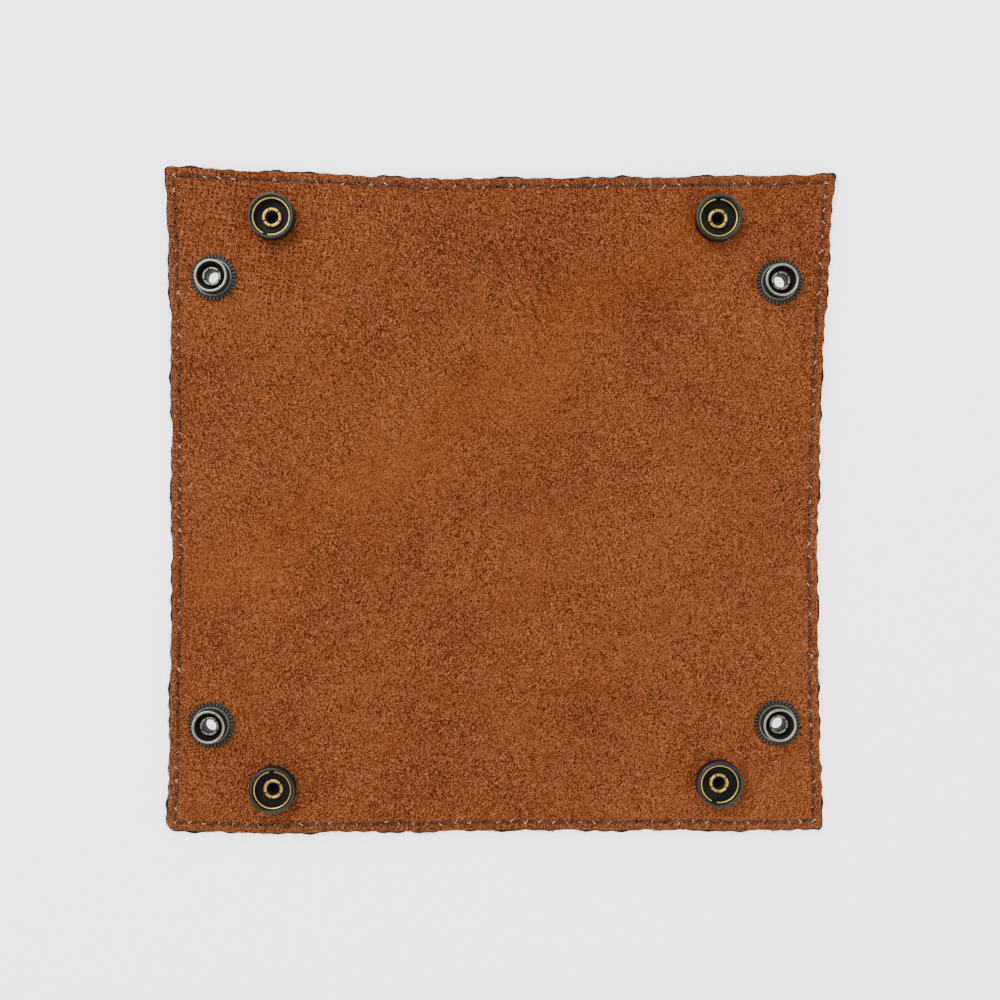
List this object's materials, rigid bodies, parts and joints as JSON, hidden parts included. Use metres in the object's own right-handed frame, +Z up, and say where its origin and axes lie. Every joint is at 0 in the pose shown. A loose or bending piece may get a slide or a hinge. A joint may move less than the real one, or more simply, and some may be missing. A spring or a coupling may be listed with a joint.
{
  "type": "folding dice tray",
  "caption": "Square two-layer leather tray that lies flat and snaps up at its pinched corners into a shallow open box.",
  "frame": {"origin": "middle of the sheet, on the plane that the lowest snap caps touch", "axes": "+X right, +Y back, +Z up out of the leather face, tray flat and unsnapped"},
  "size_m": [0.2, 0.2, 0.0071],
  "materials": {
    "leather": "dull full-grain, pebbled",
    "lining": "suede flesh side",
    "thread": "waxed polyester thread",
    "dark_nickel": "antique dark nickel plate",
    "brass": "bare rolled brass"
  },
  "bodies": {
    "floor": {"leather_floor": "leather", "lining_floor": "lining"},
    "wall_front": {"leather_wall_front": "leather", "lining_wall_front": "lining", "thread_wall_front": "thread"},
    "wall_back": {"leather_wall_back": "leather", "lining_wall_back": "lining", "thread_wall_back": "thread"},
    "wall_left": {"leather_wall_left": "leather", "lining_wall_left": "lining", "thread_wall_left": "thread"},
    "wall_right": {"leather_wall_right": "leather", "lining_wall_right": "lining", "thread_wall_right": "thread"},
    "socket_ear_front_left": {"socket_ear_front_left": "leather", "thread_socket_ear_front_left": "thread", "socket_shell_front_left": "dark_nickel", "ring_spring_front_left": "brass", "snap_cap_front_left": "dark_nickel", "cap_post_front_left": "brass"},
    "spine_front_left": {"corner_spine_front_left": "leather"},
    "stud_ear_front_left": {"stud_ear_front_left": "leather", "thread_stud_ear_front_left": "thread", "stud_front_left": "dark_nickel", "eyelet_front_left": "dark_nickel"},
    "socket_ear_front_right": {"socket_ear_front_right": "leather", "thread_socket_ear_front_right": "thread", "socket_shell_front_right": "dark_nickel", "ring_spring_front_right": "brass", "snap_cap_front_right": "dark_nickel", "cap_post_front_right": "brass"},
    "spine_front_right": {"corner_spine_front_right": "leather"},
    "stud_ear_front_right": {"stud_ear_front_right": "leather", "thread_stud_ear_front_right": "thread", "stud_front_right": "dark_nickel", "eyelet_front_right": "dark_nickel"},
    "socket_ear_back_left": {"socket_ear_back_left": "leather", "thread_socket_ear_back_left": "thread", "socket_shell_back_left": "dark_nickel", "ring_spring_back_left": "brass", "snap_cap_back_left": "dark_nickel", "cap_post_back_left": "brass"},
    "spine_back_left": {"corner_spine_back_left": "leather"},
    "stud_ear_back_left": {"stud_ear_back_left": "leather", "thread_stud_ear_back_left": "thread", "stud_back_left": "dark_nickel", "eyelet_back_left": "dark_nickel"},
    "socket_ear_back_right": {"socket_ear_back_right": "leather", "thread_socket_ear_back_right": "thread", "socket_shell_back_right": "dark_nickel", "ring_spring_back_right": "brass", "snap_cap_back_right": "dark_nickel", "cap_post_back_right": "brass"},
    "spine_back_right": {"corner_spine_back_right": "leather"},
    "stud_ear_back_right": {"stud_ear_back_right": "leather", "thread_stud_ear_back_right": "thread", "stud_back_right": "dark_nickel", "eyelet_back_right": "dark_nickel"}
  },
  "joints": [
    {"name": "fold_front", "type": "hinge", "parent": "floor", "child": "wall_front", "pos_m": [0, -0.05826, 0.0034], "axis": [-1, 0, 0], "range_deg": [0, 90]},
    {"name": "fold_back", "type": "hinge", "parent": "floor", "child": "wall_back", "pos_m": [0, 0.05826, 0.0034], "axis": [1, 0, 0], "range_deg": [0, 90]},
    {"name": "fold_left", "type": "hinge", "parent": "floor", "child": "wall_left", "pos_m": [-0.05826, 0, 0.0034], "axis": [0, 1, 0], "range_deg": [0, 90]},
    {"name": "fold_right", "type": "hinge", "parent": "floor", "child": "wall_right", "pos_m": [0.05826, 0, 0.0034], "axis": [0, -1, 0], "range_deg": [0, 90]},
    {"name": "pinch_front_left", "type": "hinge", "parent": "wall_front", "child": "socket_ear_front_left", "pos_m": [-0.05511, -0.05826, 0.0034], "axis": [0, -1, 0], "range_deg": [0, 45]},
    {"name": "spine_fold_front_left", "type": "hinge", "parent": "socket_ear_front_left", "child": "spine_front_left", "pos_m": [-0.05511, -0.05826, 0.0034], "axis": [0.7071, 0.7071, 0], "range_deg": [0, 90]},
    {"name": "stud_fold_front_left", "type": "hinge", "parent": "spine_front_left", "child": "stud_ear_front_left", "pos_m": [-0.05826, -0.05511, 0.0034], "axis": [0.7071, 0.7071, 0], "range_deg": [0, 90]},
    {"name": "pinch_front_right", "type": "hinge", "parent": "wall_front", "child": "socket_ear_front_right", "pos_m": [0.05511, -0.05826, 0.0034], "axis": [0, 1, 0], "range_deg": [0, 45]},
    {"name": "spine_fold_front_right", "type": "hinge", "parent": "socket_ear_front_right", "child": "spine_front_right", "pos_m": [0.05511, -0.05826, 0.0034], "axis": [0.7071, -0.7071, 0], "range_deg": [0, 90]},
    {"name": "stud_fold_front_right", "type": "hinge", "parent": "spine_front_right", "child": "stud_ear_front_right", "pos_m": [0.05826, -0.05511, 0.0034], "axis": [0.7071, -0.7071, 0], "range_deg": [0, 90]},
    {"name": "pinch_back_left", "type": "hinge", "parent": "wall_back", "child": "socket_ear_back_left", "pos_m": [-0.05511, 0.05826, 0.0034], "axis": [0, -1, 0], "range_deg": [0, 45]},
    {"name": "spine_fold_back_left", "type": "hinge", "parent": "socket_ear_back_left", "child": "spine_back_left", "pos_m": [-0.05511, 0.05826, 0.0034], "axis": [-0.7071, 0.7071, 0], "range_deg": [0, 90]},
    {"name": "stud_fold_back_left", "type": "hinge", "parent": "spine_back_left", "child": "stud_ear_back_left", "pos_m": [-0.05826, 0.05511, 0.0034], "axis": [-0.7071, 0.7071, 0], "range_deg": [0, 90]},
    {"name": "pinch_back_right", "type": "hinge", "parent": "wall_back", "child": "socket_ear_back_right", "pos_m": [0.05511, 0.05826, 0.0034], "axis": [0, 1, 0], "range_deg": [0, 45]},
    {"name": "spine_fold_back_right", "type": "hinge", "parent": "socket_ear_back_right", "child": "spine_back_right", "pos_m": [0.05511, 0.05826, 0.0034], "axis": [-0.7071, -0.7071, 0], "range_deg": [0, 90]},
    {"name": "stud_fold_back_right", "type": "hinge", "parent": "spine_back_right", "child": "stud_ear_back_right", "pos_m": [0.05826, 0.05511, 0.0034], "axis": [-0.7071, -0.7071, 0], "range_deg": [0, 90]}
  ],
  "couplings": [
    {"joint": "fold_back", "follows": "fold_front", "ratio": 1},
    {"joint": "fold_left", "follows": "fold_front", "ratio": 1},
    {"joint": "fold_right", "follows": "fold_front", "ratio": 1},
    {"joint": "pinch_front_left", "follows": "fold_front", "ratio": 0.5},
    {"joint": "spine_fold_front_left", "follows": "fold_front", "ratio": 1},
    {"joint": "stud_fold_front_left", "follows": "fold_front", "ratio": 1},
    {"joint": "pinch_front_right", "follows": "fold_front", "ratio": 0.5},
    {"joint": "spine_fold_front_right", "follows": "fold_front", "ratio": 1},
    {"joint": "stud_fold_front_right", "follows": "fold_front", "ratio": 1},
    {"joint": "pinch_back_left", "follows": "fold_front", "ratio": 0.5},
    {"joint": "spine_fold_back_left", "follows": "fold_front", "ratio": 1},
    {"joint": "stud_fold_back_left", "follows": "fold_front", "ratio": 1},
    {"joint": "pinch_back_right", "follows": "fold_front", "ratio": 0.5},
    {"joint": "spine_fold_back_right", "follows": "fold_front", "ratio": 1},
    {"joint": "stud_fold_back_right", "follows": "fold_front", "ratio": 1}
  ]
}
